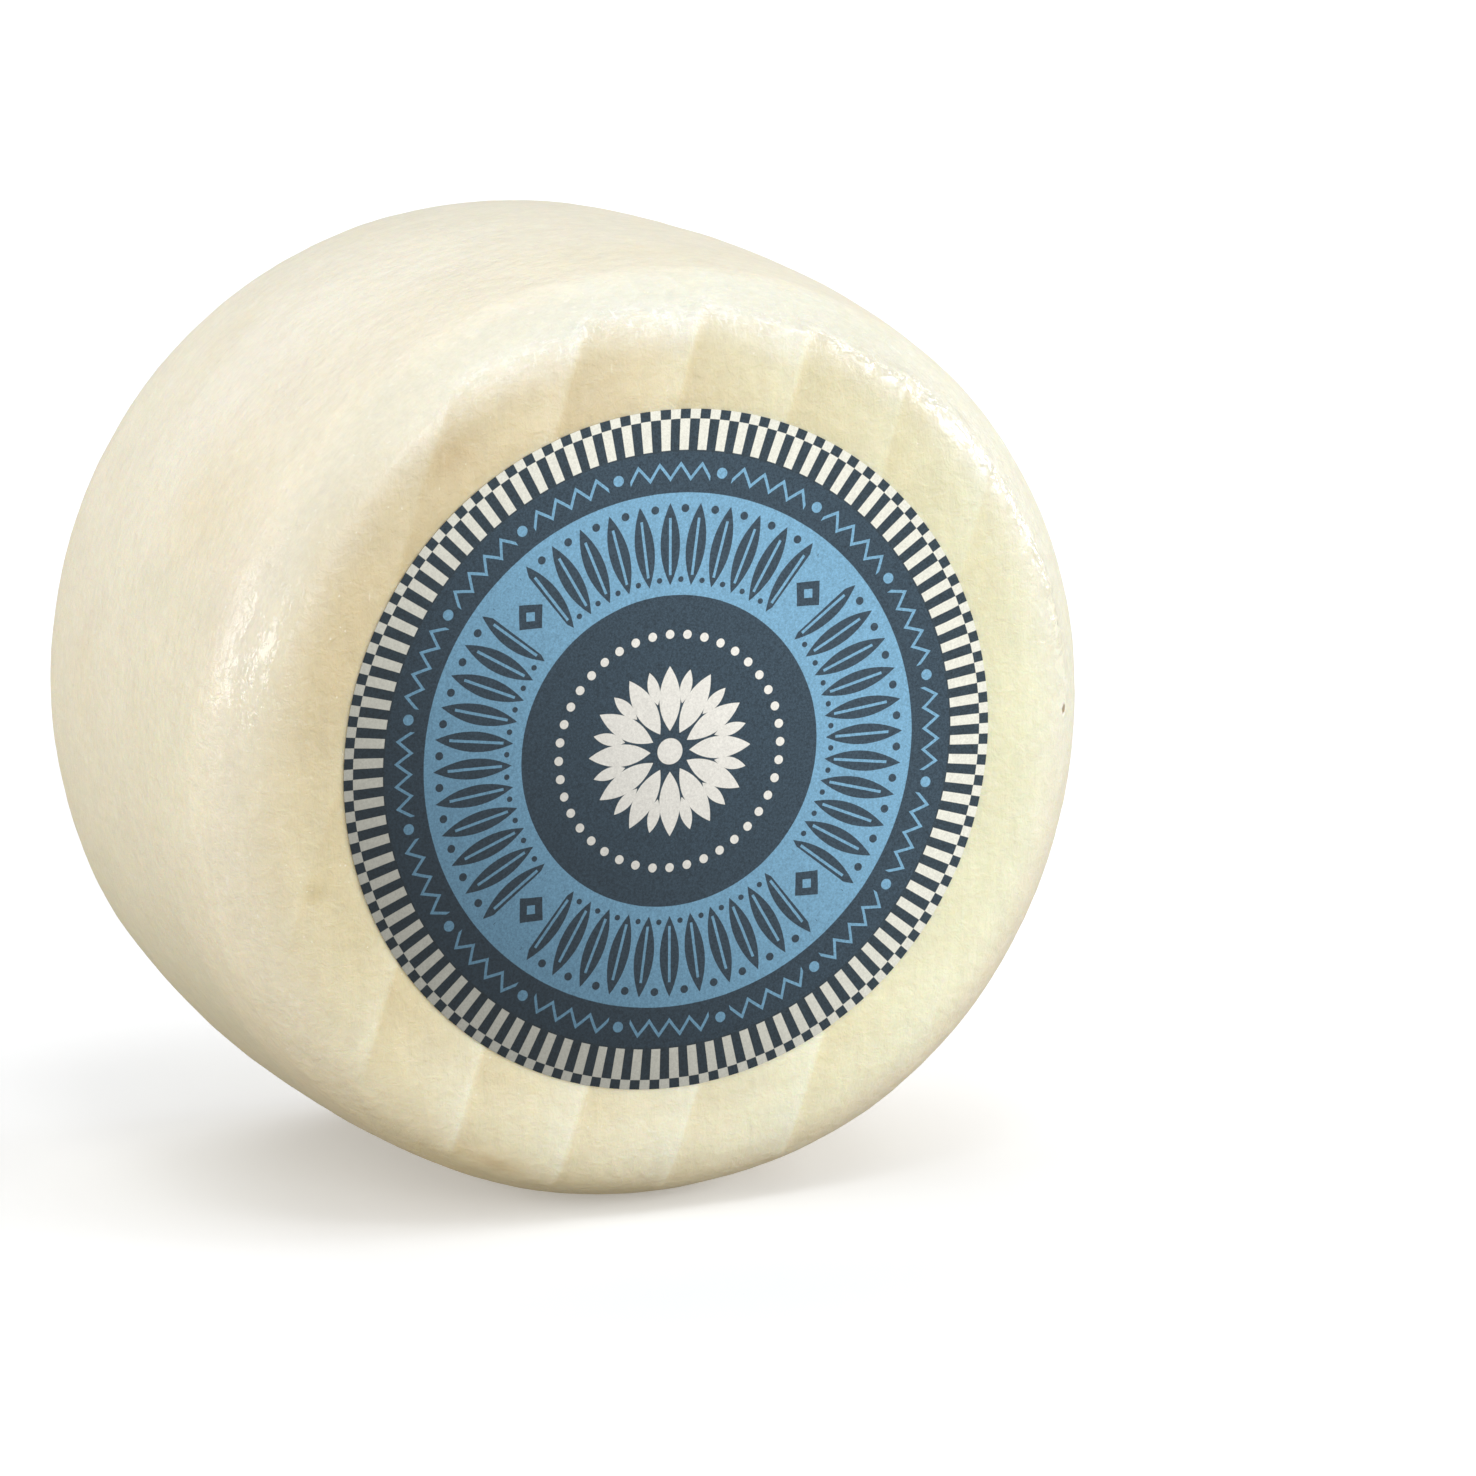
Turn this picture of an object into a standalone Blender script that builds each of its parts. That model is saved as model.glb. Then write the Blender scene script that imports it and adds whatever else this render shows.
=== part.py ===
"""Fresh goat cheese: a whole wheel standing on its rim, with a round paper label on its front face.

The wheel's axis runs along Y and its labelled face looks along -Y. The rim is barrel shaped, the
shoulders are rounded, each face has a shallow hollow inside its shoulder and carries the low ridges
that the gaps between the boards of the mould left, and the soft paste has settled a little, so that
the wheel is not quite round and stands on a small flat spot. Lengths are in metres.
"""

import math

import bmesh
import bpy
from mathutils import Matrix, Vector

# The wheel
BELLY_RADIUS = 0.0848  # half way across the rim
WIDTH = 0.0993  # face to face
BARREL_POWER = 2.2  # how late the rim falls away towards the faces
FRONT_DROP = 0.0040  # fall of the rim at the front face, before its rounding
BACK_DROP = 0.0044
FRONT_SHOULDER = 0.0145  # rounding between rim and front face
BACK_SHOULDER = 0.0114
BASE_CUT = 0.0012  # height of the flat spot above the round rim's lowest point

# How the soft wheel has settled: shares of its radius
OVAL, OVAL_AT = 0.0026, math.radians(-19.0)
TRIANGLE, TRIANGLE_AT = 0.0008, math.radians(73.0)
SQUARE, SQUARE_AT = 0.0035, math.radians(41.0)
SLUMP = 0.0005  # slow waves over the rim
SLUMP_TURNS = 3
SLUMP_TWIST = 38.0  # radians of wave for each metre across the rim

# The faces
HOLLOW_DEPTH = 0.0007  # ring-shaped hollow just inside the shoulder
HOLLOW_FROM, HOLLOW_TO = 0.0605, 0.0745
RIDGE_HEIGHT = 0.0003
RIDGE_LEAN = math.radians(18.5)  # ridges lean to the right at the top
RIDGES = (-0.0588, -0.0380, -0.0173, 0.0044, 0.0244, 0.0420, 0.0625)
RIDGE_RISE = 0.0042  # long side of each ridge
RIDGE_FALL = 0.0009  # short side of each ridge
RIDGE_FADE_FROM, RIDGE_FADE_TO = 0.0700, 0.0780  # radii over which a ridge dies away

# The label
LABEL_RADIUS = 0.0599
LABEL_THICKNESS = 0.0003
LABEL_GAP = 0.0003  # above the ridges' tops

# Fineness
STEPS_AROUND = 80
STEPS_RIM = 13
STEPS_FRONT_SHOULDER = 8
STEPS_BACK_SHOULDER = 6
FACE_RINGS = (0.0, 0.030, 0.0570, 0.0615)  # radii of the rings inside the shoulder


def clear_scene():
    for obj in list(bpy.data.objects):
        bpy.data.objects.remove(obj, do_unlink=True)
    for group in list(bpy.data.collections):
        bpy.data.collections.remove(group)


def new_collection(name):
    group = bpy.data.collections.new(name)
    bpy.context.scene.collection.children.link(group)
    return group


def finish(name, colour, roughness):
    material = bpy.data.materials.new(name)
    material.use_nodes = True
    shader = material.node_tree.nodes["Principled BSDF"]
    shader.inputs["Base Color"].default_value = (*colour, 1.0)
    shader.inputs["Roughness"].default_value = roughness
    shader.inputs["Metallic"].default_value = 0.0
    return material


def smooth_step(low, high, x):
    t = min(max((x - low) / (high - low), 0.0), 1.0)
    return t * t * (3.0 - 2.0 * t)


def rim_radius(y):
    """The barrel's radius at y across the wheel, before the shoulders are rounded."""
    drop = FRONT_DROP if y < 0.0 else BACK_DROP
    return BELLY_RADIUS - drop * abs(2.0 * y / WIDTH) ** BARREL_POWER


def wheel_profile():
    """(radius, y) from the middle of the front face, over the rim, to the middle of the back face."""
    half = WIDTH / 2.0
    rows = [(radius, -half) for radius in FACE_RINGS]

    def shoulder(turn, rounding, side):
        # turn is the surface's tilt away from the face, from 0 at the face to a quarter turn at the rim
        depth = rounding * (1.0 - math.cos(turn))
        y = side * (half - depth)
        return rim_radius(y) - rounding * (1.0 - math.sin(turn)), y

    quarter = math.pi / 2.0
    for i in range(STEPS_FRONT_SHOULDER + 1):
        rows.append(shoulder(quarter * i / STEPS_FRONT_SHOULDER, FRONT_SHOULDER, -1.0))
    first, last = -half + FRONT_SHOULDER, half - BACK_SHOULDER
    for i in range(1, STEPS_RIM):
        y = first + (last - first) * i / STEPS_RIM
        rows.append((rim_radius(y), y))
    for i in range(STEPS_BACK_SHOULDER, -1, -1):
        rows.append(shoulder(quarter * i / STEPS_BACK_SHOULDER, BACK_SHOULDER, 1.0))
    rows += [(radius, half) for radius in reversed(FACE_RINGS)]
    return rows


def settle(angle, y):
    """How much the radius grows at this angle from +X towards +Z, as a share of the radius."""
    share = OVAL * math.cos(2.0 * (angle - OVAL_AT))
    share += TRIANGLE * math.cos(3.0 * (angle - TRIANGLE_AT))
    share += SQUARE * math.cos(4.0 * (angle - SQUARE_AT))
    wave = math.sin(SLUMP_TURNS * angle + SLUMP_TWIST * y)
    share += SLUMP / BELLY_RADIUS * wave * math.cos(math.pi * y / WIDTH)
    return share


def turned_wheel():
    """The wheel's profile turned about its axis, as a mesh about the wheel's centre."""
    mesh = bpy.data.meshes.new("wheel_profile")
    rows = wheel_profile()
    points = [(radius, 0.0, -y) for radius, y in rows]
    mesh.from_pydata(points, [(i, i + 1) for i in range(len(points) - 1)], [])
    profile = bpy.data.objects.new("wheel_profile", mesh)
    bpy.context.scene.collection.objects.link(profile)
    screw = profile.modifiers.new("turn", "SCREW")
    screw.axis = "Z"
    screw.angle = 2.0 * math.pi
    screw.steps = screw.render_steps = STEPS_AROUND
    screw.use_merge_vertices = True
    screw.merge_threshold = 0.00001
    bpy.context.view_layer.update()
    graph = bpy.context.evaluated_depsgraph_get()
    wheel = bpy.data.meshes.new_from_object(profile.evaluated_get(graph))
    bpy.data.objects.remove(profile, do_unlink=True)
    bpy.data.meshes.remove(mesh)
    wheel.name = "cheese"
    wheel.transform(Matrix.Rotation(math.pi / 2.0, 4, "X"))
    return wheel


def across(point, side):
    """Distance of a point across the ridges, from the axis, as seen looking at that face."""
    return side * point.x * math.cos(RIDGE_LEAN) - point.z * math.sin(RIDGE_LEAN)


def score_ridges(bm, side):
    """Cuts edges along the feet and the top of each ridge on one face; side is 1 front, -1 back."""
    half = WIDTH / 2.0
    normal = Vector((side * math.cos(RIDGE_LEAN), 0.0, -math.sin(RIDGE_LEAN)))
    for at in RIDGES:
        for offset in (at - RIDGE_RISE, at, at + RIDGE_FALL):
            on_face = [f for f in bm.faces if -side * f.calc_center_median().y > half - 0.0045]
            edges = {e for f in on_face for e in f.edges}
            corners = {v for f in on_face for v in f.verts}
            bmesh.ops.bisect_plane(
                bm,
                geom=list(corners) + list(edges) + on_face,
                dist=0.00005,
                plane_co=normal * offset,
                plane_no=normal,
            )


def shape_vertices(bm):
    """Raises the ridges, presses in the hollows and lets the wheel settle."""
    half = WIDTH / 2.0
    for vertex in bm.verts:
        point = vertex.co
        radius = math.hypot(point.x, point.z)
        angle = math.atan2(point.z, point.x)
        push = 0.0
        if abs(point.y) > half - 0.0045:
            side = 1.0 if point.y < 0.0 else -1.0
            place = across(point, side)
            fade = 1.0 - smooth_step(RIDGE_FADE_FROM, RIDGE_FADE_TO, radius)
            for at in RIDGES:
                if abs(place - at) < 0.0001:
                    push += RIDGE_HEIGHT * fade
            middle = (HOLLOW_FROM + HOLLOW_TO) / 2.0
            push -= (
                HOLLOW_DEPTH
                * smooth_step(HOLLOW_FROM, middle, radius)
                * (1.0 - smooth_step(middle, HOLLOW_TO, radius))
            )
            point.y -= side * push
        grow = 1.0 + settle(angle, point.y)
        point.x *= grow
        point.z *= grow


def make_cheese(group, material):
    mesh = turned_wheel()
    bm = bmesh.new()
    bm.from_mesh(mesh)
    bmesh.ops.remove_doubles(bm, verts=bm.verts, dist=0.00001)
    score_ridges(bm, 1.0)
    score_ridges(bm, -1.0)
    shape_vertices(bm)
    bmesh.ops.triangulate(bm, faces=bm.faces)
    bmesh.ops.recalc_face_normals(bm, faces=bm.faces)
    bm.to_mesh(mesh)
    bm.free()
    mesh.materials.clear()
    mesh.materials.append(material)
    mesh.shade_smooth()
    mesh.set_sharp_from_angle(angle=math.radians(30.0))
    cheese = bpy.data.objects.new("cheese", mesh)
    group.objects.link(cheese)
    return cheese


def make_label(group, material):
    bpy.ops.mesh.primitive_cylinder_add(
        vertices=96, radius=LABEL_RADIUS, depth=LABEL_THICKNESS, rotation=(math.pi / 2.0, 0.0, 0.0)
    )
    label = bpy.context.object
    label.name = label.data.name = "label"
    for owner in list(label.users_collection):
        owner.objects.unlink(label)
    group.objects.link(label)
    label.location.y = -(WIDTH / 2.0 + RIDGE_HEIGHT + LABEL_GAP + LABEL_THICKNESS / 2.0)
    label.data.materials.append(material)
    label.data.shade_smooth()
    label.data.set_sharp_from_angle(angle=math.radians(30.0))
    return label


def make_base_cutter(group, base):
    """A block under the wheel, whose top is the plane of the flat spot."""
    size = 0.12
    bpy.ops.mesh.primitive_cube_add(size=size, location=(0.0, 0.0, base - size / 2.0))
    block = bpy.context.object
    block.name = "base_block"
    for owner in list(block.users_collection):
        owner.objects.unlink(block)
    group.objects.link(block)
    block.hide_render = True
    block.display_type = "WIRE"
    return block


def main():
    clear_scene()
    parts = new_collection("fresh_goat_cheese")
    cutters = new_collection("cutters")
    rind = finish("cheese_rind", (0.82, 0.74, 0.55), 0.42)
    paper = finish("label_paper", (0.14, 0.24, 0.34), 0.7)

    cheese = make_cheese(parts, rind)
    label = make_label(parts, paper)
    corners = [vertex.co for vertex in cheese.data.vertices]
    base = min(c.z for c in corners) + BASE_CUT
    block = make_base_cutter(cutters, base)
    cut = cheese.modifiers.new("flat_spot", "BOOLEAN")
    cut.operation = "DIFFERENCE"
    cut.solver = "EXACT"
    cut.object = block

    # The origin lies on the ground, under the middle of the model's box.
    axis = bpy.data.objects.new("wheel_axis", None)
    parts.objects.link(axis)
    middle = (min(c.x for c in corners) + max(c.x for c in corners)) / 2.0
    front = label.location.y - LABEL_THICKNESS / 2.0
    back = max(c.y for c in corners)
    for piece in (cheese, label, block):
        piece.parent = axis
    axis.location = (-middle, -(front + back) / 2.0, -base)
    bpy.context.view_layer.update()


main()
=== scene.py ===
"""Looks of a whole fresh goat cheese that stands on its rim, with a round paper label on its front face.

Lengths are in metres. The wheel's axis runs along Y and its labelled face looks along -Y.
"""

import math

import bpy
import numpy as np
from mathutils import Matrix, Vector


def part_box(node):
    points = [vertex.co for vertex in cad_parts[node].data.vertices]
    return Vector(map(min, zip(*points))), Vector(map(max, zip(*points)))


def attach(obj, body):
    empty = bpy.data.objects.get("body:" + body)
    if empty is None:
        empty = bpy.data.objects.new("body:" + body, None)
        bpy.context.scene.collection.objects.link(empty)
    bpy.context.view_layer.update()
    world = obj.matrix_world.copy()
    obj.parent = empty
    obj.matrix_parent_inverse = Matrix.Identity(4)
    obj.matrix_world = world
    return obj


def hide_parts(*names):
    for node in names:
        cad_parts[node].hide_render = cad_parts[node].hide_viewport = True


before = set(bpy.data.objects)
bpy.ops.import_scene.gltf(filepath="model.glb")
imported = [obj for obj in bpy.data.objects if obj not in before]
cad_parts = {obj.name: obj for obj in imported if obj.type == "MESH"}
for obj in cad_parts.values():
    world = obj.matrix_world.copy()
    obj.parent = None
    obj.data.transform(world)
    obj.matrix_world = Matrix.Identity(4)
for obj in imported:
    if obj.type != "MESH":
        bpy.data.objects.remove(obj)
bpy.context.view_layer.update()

MM = 0.001

# ---------------------------------------------------------------- sizes, as in the solids
BELLY_RADIUS = 84.8 * MM
WIDTH = 99.3 * MM
HALF = WIDTH / 2.0
BARREL_POWER = 2.2
FRONT_DROP, BACK_DROP = 4.0 * MM, 4.4 * MM
FRONT_SHOULDER, BACK_SHOULDER = 14.5 * MM, 11.4 * MM
OVAL, OVAL_AT = 0.0026, math.radians(-19.0)
TRIANGLE, TRIANGLE_AT = 0.0008, math.radians(73.0)
SQUARE, SQUARE_AT = 0.0035, math.radians(41.0)
SLUMP, SLUMP_TURNS, SLUMP_TWIST = 0.5 * MM, 3, 38.0
RIDGE_LEAN = math.radians(17.75)
RIDGES = (-58.2, -38.0, -17.9, 3.0, 23.5, 43.6, 63.7)
RIDGE_STRENGTH = (0.50, 0.95, 0.92, 0.86, 0.76, 0.88, 0.30)
LABEL_RADIUS = 59.9 * MM

# Where the wheel's axis is, from the solids
label_low, label_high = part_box("label")
cheese_low, cheese_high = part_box("cheese")
AXIS = Vector((
    (label_low.x + label_high.x) / 2.0,
    (cheese_low.y + cheese_high.y) / 2.0,
    (label_low.z + label_high.z) / 2.0,
))


# ---------------------------------------------------------------- noise on arrays of points
class Noise:
    """Smooth gradient noise in space, about -1 to 1, the same each run."""

    def __init__(self, seed):
        state = np.random.RandomState(seed)
        self.order = np.concatenate([state.permutation(256)] * 3)
        arrows = state.normal(size=(256, 3))
        self.arrows = arrows / np.linalg.norm(arrows, axis=1)[:, None]

    def __call__(self, points):
        cell = np.floor(points).astype(np.int64)
        part = points - cell
        cell &= 255
        ease = part * part * part * (part * (part * 6.0 - 15.0) + 10.0)
        total = np.zeros(len(points))
        for i in (0, 1):
            for j in (0, 1):
                for k in (0, 1):
                    n = self.order[cell[:, 0] + i]
                    n = self.order[n + cell[:, 1] + j]
                    n = self.order[n + cell[:, 2] + k]
                    reach = part - np.array((i, j, k))
                    share = (
                        np.where(i, ease[:, 0], 1.0 - ease[:, 0])
                        * np.where(j, ease[:, 1], 1.0 - ease[:, 1])
                        * np.where(k, ease[:, 2], 1.0 - ease[:, 2])
                    )
                    total += share * (self.arrows[n] * reach).sum(1)
        return total * 1.6

    def layers(self, points, count, rough=0.5):
        total, size = 0.0, 1.0
        for i in range(count):
            total = total + size * self(points * 2.0**i + 17.3 * i)
            size *= rough
        return total


def step(low, high, x):
    t = np.clip((x - low) / (high - low), 0.0, 1.0)
    return t * t * (3.0 - 2.0 * t)


def around(angle, middle, width):
    """1 at an angle round the wheel, in degrees, falling away over width."""
    apart = (np.degrees(angle) - middle + 180.0) % 360.0 - 180.0
    return np.exp(-0.5 * (apart / width) ** 2)


# ---------------------------------------------------------------- the wheel's form
def rim_radius(y):
    drop = np.where(y < 0.0, FRONT_DROP, BACK_DROP)
    return BELLY_RADIUS - drop * np.abs(y / HALF) ** BARREL_POWER


# Places along the profile, from the middle of the front face over the rim to the middle of the back
FRONT_FLAT = BELLY_RADIUS - FRONT_DROP - FRONT_SHOULDER
BACK_FLAT = BELLY_RADIUS - BACK_DROP - BACK_SHOULDER
RIM_FROM = FRONT_FLAT + FRONT_SHOULDER * math.pi / 2.0
RIM_TO = RIM_FROM + WIDTH - FRONT_SHOULDER - BACK_SHOULDER
BACK_FROM = RIM_TO + BACK_SHOULDER * math.pi / 2.0
PROFILE_END = BACK_FROM + BACK_FLAT


def profile(s):
    """Radius and y at each place s along the profile."""
    quarter = math.pi / 2.0
    front = np.clip((s - FRONT_FLAT) / FRONT_SHOULDER, 0.0, quarter)
    back = np.clip((BACK_FROM - s) / BACK_SHOULDER, 0.0, quarter)
    y = -HALF + FRONT_SHOULDER * (1.0 - np.cos(front)) + np.clip(s - RIM_FROM, 0.0, RIM_TO - RIM_FROM)
    y = np.where(s > RIM_TO, HALF - BACK_SHOULDER * (1.0 - np.cos(back)), y)
    radius = rim_radius(y) - FRONT_SHOULDER * (1.0 - np.sin(front)) * (s < RIM_FROM)
    radius = radius - BACK_SHOULDER * (1.0 - np.sin(back)) * (s > RIM_TO)
    radius = np.where(s < FRONT_FLAT, s, radius)
    radius = np.where(s > BACK_FROM, PROFILE_END - s, radius)
    return radius, y


def profile_rows():
    """Places along the profile for the rings of the mesh, closest at the lips."""
    end = PROFILE_END / MM
    rows = [8.0, 18.0, 28.0, 38.0, 46.0, 52.0, 55.5, 57.8]
    for low, high, count in (
        (59.0, 66.0, 8), (66.0, 73.0, 9), (73.0, 80.0, 18), (80.0, RIM_FROM / MM, 12),
        (RIM_FROM / MM, RIM_TO / MM, 52), (RIM_TO / MM, end - 80.0, 8),
        (end - 80.0, end - 73.0, 15), (end - 73.0, end - 6.0, 42),
    ):
        rows += list(np.linspace(low, high, count + 1)[:-1])
    rows.append(end - 6.0)
    return np.array(rows) * MM


def settle(angle, y):
    share = OVAL * np.cos(2.0 * (angle - OVAL_AT))
    share = share + TRIANGLE * np.cos(3.0 * (angle - TRIANGLE_AT))
    share = share + SQUARE * np.cos(4.0 * (angle - SQUARE_AT))
    wave = np.sin(SLUMP_TURNS * angle + SLUMP_TWIST * y)
    return share + SLUMP / BELLY_RADIUS * wave * np.cos(math.pi * y / WIDTH)


def across_boards(x, z, side, sunk=0.0):
    """Millimetres across the boards' ridges, with their slight wander, and their bend where the surface has
    sunk below the face. side is 1 front, -1 back."""
    c, s = math.cos(RIDGE_LEAN), math.sin(RIDGE_LEAN)
    q = (side * x * c - z * s) / MM
    p = (side * x * s + z * c) / MM
    wander = Noise(23)(np.stack([p / 34.0, np.full_like(p, 3.1) * side, q / 90.0], 1))
    bend = 0.2 + 0.20 * step(10.0, 50.0, -z / MM) * np.clip((8.0 - q) / 26.0, 0.0, 1.0)
    return q - 0.45 * wander - bend * np.minimum(sunk / MM, 6.0)


def ridges(q):
    """The low ridges that the gaps between the mould's boards leave: a crest, then a shallow trough on its right."""
    height = np.zeros_like(q)
    for i, at in enumerate(RIDGES):
        d = q - at
        tall = 0.46 * RIDGE_STRENGTH[i]
        left, right = np.minimum(d, 0.0), np.maximum(d, 0.0)
        rise = 0.7 * np.exp(-((left / 1.1) ** 2)) + 0.3 * np.exp(left / 6.0)
        fall = 1.45 * np.exp(-((right / 1.0) ** 2)) - 0.45 * np.exp(-right / 3.6)
        height += tall * np.where(d < 0.0, rise, fall)
    return height * MM


def round_table(angle, table):
    """Values between those given at some angles, in degrees, smoothly round the wheel."""
    at = np.array(sorted(table))
    value = np.array([table[a] for a in at])
    fine = np.arange(0.0, 360.0, 1.0)
    line = np.interp(fine, at, value, period=360.0)
    kernel = np.exp(-0.5 * (np.arange(-20, 21) / 6.0) ** 2)
    kernel /= kernel.sum()
    line = np.convolve(np.concatenate([line[-20:], line, line[:20]]), kernel, "valid")
    return np.interp(np.degrees(angle) % 360.0, fine, line, period=360.0)


LIP = {
    0: 76.6, 20: 76.4, 40: 76.2, 60: 76.0, 75: 75.8, 90: 76.6, 100: 76.3, 112: 75.2, 125: 74.0, 140: 73.0,
    160: 73.2, 180: 73.8, 200: 74.6, 220: 76.2, 240: 79.0, 260: 80.2, 280: 80.0, 300: 79.0, 330: 77.6,
}
LIP_HEIGHT = {
    0: 0.24, 20: 0.38, 40: 0.50, 60: 0.54, 75: 0.62, 90: 0.75, 105: 0.65, 120: 0.35, 140: 0.14, 160: 0.08,
    180: 0.06, 200: 0.06, 220: 0.08, 240: 0.10, 260: 0.12, 290: 0.18, 330: 0.20,
}


class Surface:
    """Every point of the wheel before its relief, with the coordinates that relief and colour are made from."""

    def __init__(self, s, angle):
        self.s, self.angle = s, angle
        self.radius, self.y = profile(s)
        self.x, self.z = self.radius * np.cos(angle), self.radius * np.sin(angle)
        self.points = np.stack([self.x, self.y, self.z], 1)
        self.front = s < (RIM_FROM + RIM_TO) / 2.0
        self.from_axis = np.where(self.front, s, PROFILE_END - s) / MM
        self.side = np.where(self.front, 1.0, -1.0)
        self.boards = np.where(
            self.front,
            across_boards(self.x, self.z, 1.0, HALF + self.y),
            across_boards(self.x, self.z, -1.0, HALF - self.y),
        )
        wobble = Noise(41).layers(self.points / (11.0 * MM), 2, 0.5)

        # each board's strip of the face reaches further out beside the ridge on its left than on its right
        marks = np.array((RIDGES[0] - 20.0,) + RIDGES + (RIDGES[-1] + 20.0,))
        strip = np.clip(np.searchsorted(marks, self.boards) - 1, 0, len(marks) - 2)
        left, right = self.boards - marks[strip], marks[strip + 1] - self.boards
        saw = (right - left) / (right + left)
        saw = saw * (1.0 - np.exp(-((left / 0.9) ** 2))) * (1.0 - np.exp(-((right / 0.9) ** 2)))
        self.reach = saw * np.where(self.front, around(angle, 90.0, 30.0) + 0.5 * around(angle, 262.0, 26.0), 0.6)
        lip = np.where(self.front, round_table(angle, LIP), 75.6 + 0.8 * np.cos(3.0 * angle + 1.0))
        self.from_lip = self.from_axis - lip - 0.75 * wobble - 1.3 * self.reach
        # how much of the boards' ridges is left
        front_faint = 1.0 - 0.85 * around(angle, 0.0, 27.0) - 0.45 * around(angle, 196.0, 14.0)
        front_faint = front_faint - 0.75 * around(angle, 219.0, 9.0) * step(72.5, 76.5, self.from_axis)
        self.faint = np.where(self.front, np.clip(front_faint, 0.0, 1.0), 1.0)
        self.lip_height = np.where(
            self.front, round_table(angle, LIP_HEIGHT), 0.45 + 0.2 * np.sin(2.0 * angle + 0.7)
        )

    def patch(self, at_angle, at_s, wide, long):
        """1 at a place on the front half (degrees, millimetres from the axis), falling away over that many millimetres."""
        apart = (np.degrees(self.angle) - at_angle + 180.0) % 360.0 - 180.0
        arc = np.radians(apart) * np.minimum(self.from_axis, 84.0)
        u = np.where(self.front, self.s / MM - at_s, self.s / MM - at_s)
        return np.exp(-0.5 * ((arc / wide) ** 2 + (u / long) ** 2))


def cheese_relief(w):
    """How far the surface stands out from the turned form, along its normal."""
    low, mid, fine = Noise(11), Noise(29), Noise(37)
    u, angle, points = w.from_axis, w.angle, w.points
    on_face = 1.0 - step(64.0, 84.0, u)
    push = np.zeros(len(u))

    # soft lumps over the whole wheel, kept off the label's seat
    clear = np.where(w.front, step(59.0, 66.0, u), 1.0)
    push += 0.26 * MM * low(points / (46.0 * MM)) * clear
    push += 0.12 * MM * low(points / (19.0 * MM) + 5.0) * clear

    # board ridges, dying away beyond the lip, and low under the label's edge
    seat = np.where(w.front, 0.45 * step(54.0, 57.0, u) + 0.55 * step(59.0, 63.0, u), 0.62)
    push += ridges(w.boards) * (1.0 - step(0.0, 2.4, w.from_lip)) * seat * w.faint

    # the hollow inside the lip, deepest at the top and upper left
    deep = 0.20 + 0.28 * around(angle, 95.0, 30.0) + 0.55 * around(angle, 138.0, 24.0)
    deep = deep + 0.25 * around(angle, 190.0, 22.0)
    ring = np.exp(-(((u - 67.5) / 4.6) ** 2))
    push -= deep * MM * ring * np.where(w.front, 1.0, 0.35) * clear

    # the lip: the face stays flat up to it, then falls off to the shoulder, slowly at the left and the bottom
    slow = np.clip(around(angle, 172.0, 34.0) + around(angle, 255.0, 42.0) + 0.15 * around(angle, 30.0, 28.0), 0.0, 1.0) * w.front
    swell = 1.0 + 0.35 * mid(points / (7.0 * MM))
    edge = step(-8.0, -0.4, w.from_lip) * (1.0 - step(-0.2 - 2.0 * slow, 2.2 + 4.0 * slow, w.from_lip))
    push += w.lip_height * swell * MM * edge * np.where(w.front, 1.0, 0.8)

    # at the bottom the face bulges, so that it stays flat further out and then turns under
    bulge = step(66.0, 77.5, u) * (1.0 - step(77.0, 86.0, u)) * around(angle, 244.0, 24.0) * w.front
    push += 0.80 * MM * bulge

    # torn curd along the lip
    torn = np.exp(-((w.from_lip - 0.3) / 1.7) ** 2) * np.clip(w.lip_height * 1.3 - 0.15, 0.0, 1.0)
    torn = torn * (1.0 - 0.75 * around(angle, 34.0, 30.0) * w.front)
    push += 0.15 * MM * torn * fine.layers(points / (3.0 * MM), 2, 0.6)

    # a shallow fold that bounds the shoulder at the top
    apart = (np.degrees(angle) - 92.0 + 180.0) % 360.0 - 180.0
    fold = np.exp(-(((u - 80.4 - 0.016 * apart**2) / 0.9) ** 2)) * around(angle, 94.0, 11.0) * w.front
    push -= 0.20 * MM * fold

    # dents
    push -= 0.46 * MM * w.patch(126.5, 67.5, 4.5, 4.0)
    push -= 0.30 * MM * w.patch(197.0, 68.0, 1.6, 1.8)
    push -= 0.22 * MM * w.patch(245.0, 75.5, 4.0, 2.2)
    push -= 0.35 * MM * w.patch(282.0, 70.0, 7.0, 3.0)

    # the rim's soft wrinkles
    rim = 1.0 - on_face
    push += 0.06 * MM * rim * mid.layers(points / (4.6 * MM), 2, 0.6)
    strand = np.stack([w.x / 24.0, w.y / 3.4, w.z / 24.0], 1) / MM
    near_lip = np.exp(-(((u - 84.0) / 9.0) ** 2))
    push += 0.07 * MM * near_lip * mid.layers(strand, 2, 0.6)
    return push


def blend(low, high, share):
    return low + (np.array(high) - low) * np.clip(share, 0.0, 1.0)[:, None]


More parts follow.
